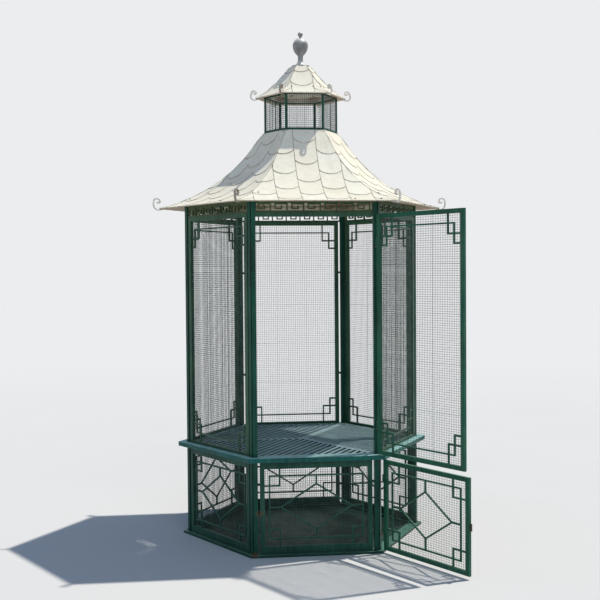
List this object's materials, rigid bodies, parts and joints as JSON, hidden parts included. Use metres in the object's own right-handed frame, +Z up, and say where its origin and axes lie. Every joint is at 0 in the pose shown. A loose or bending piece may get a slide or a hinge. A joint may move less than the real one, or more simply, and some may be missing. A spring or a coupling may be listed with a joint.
{
  "type": "metal garden gazebo aviary",
  "caption": "Six-sided metal gazebo with mesh walls, a slatted floor between two cages, open doors, a concave roof, a lantern with its own cap, and curled corner scrolls.",
  "frame": {"origin": "middle of the hexagonal underside, level with the ground", "axes": "+Z up, -Y out of the front face, a corner post on each of +X and -X"},
  "size_m": [1.8572, 2.0619, 3.131],
  "materials": {
    "frame_paint": "worn satin green paint with rust spots",
    "roof_paint": "weathered satin cream paint",
    "scroll_paint": "weathered off-white paint",
    "finial_paint": "weathered grey paint",
    "tray_paint": "faded pale green-grey paint",
    "hinge_iron": "dull iron with rust"
  },
  "bodies": {
    "gazebo_frame": {"base_floor": "frame_paint", "base_frame": "frame_paint", "post_right": "frame_paint", "post_back_right": "frame_paint", "post_back_left": "frame_paint", "post_left": "frame_paint", "post_front_left": "frame_paint", "post_front_right": "frame_paint", "platform_ledge": "frame_paint", "platform_tray_front": "tray_paint", "platform_tray_right": "tray_paint", "platform_tray_back": "tray_paint", "lower_panel_back_right": "frame_paint", "lower_panel_back": "frame_paint", "lower_panel_back_left": "frame_paint", "lower_panel_front_left": "frame_paint", "lower_panel_front": "frame_paint", "upper_panel_back_right": "frame_paint", "upper_panel_back": "frame_paint", "upper_panel_back_left": "frame_paint", "upper_panel_front_left": "frame_paint", "upper_panel_front_right": "frame_paint", "front_lintel": "frame_paint", "frieze_back_right": "frame_paint", "frieze_back": "frame_paint", "frieze_back_left": "frame_paint", "frieze_front_left": "frame_paint", "frieze_front": "frame_paint", "frieze_front_right": "frame_paint", "roof_ring": "roof_paint", "roof_panel_back_right": "roof_paint", "roof_panel_back": "roof_paint", "roof_panel_back_left": "roof_paint", "roof_panel_front_left": "roof_paint", "roof_panel_front": "roof_paint", "roof_panel_front_right": "roof_paint", "lantern_curb": "frame_paint", "lantern_posts": "frame_paint", "lantern_grilles": "frame_paint", "lantern_head": "roof_paint", "cap_roof": "roof_paint", "finial": "finial_paint", "eave_scrolls": "scroll_paint", "cap_scrolls": "scroll_paint", "door_pintles": "hinge_iron"},
    "upper_door_leaf": {"upper_door": "frame_paint"},
    "lower_door_leaf": {"lower_door": "frame_paint", "lower_door_latch": "hinge_iron"}
  },
  "joints": [
    {"name": "upper_door_hinge", "type": "hinge", "parent": "gazebo_frame", "child": "upper_door_leaf", "pos_m": [0.352, -0.65404, 0.7], "axis": [0, 0, 1], "range_deg": [-120.7, 25]},
    {"name": "lower_door_hinge", "type": "hinge", "parent": "gazebo_frame", "child": "lower_door_leaf", "pos_m": [0.39041, -0.63186, 0.12], "axis": [0, 0, 1], "range_deg": [-25, 120.3]}
  ]
}
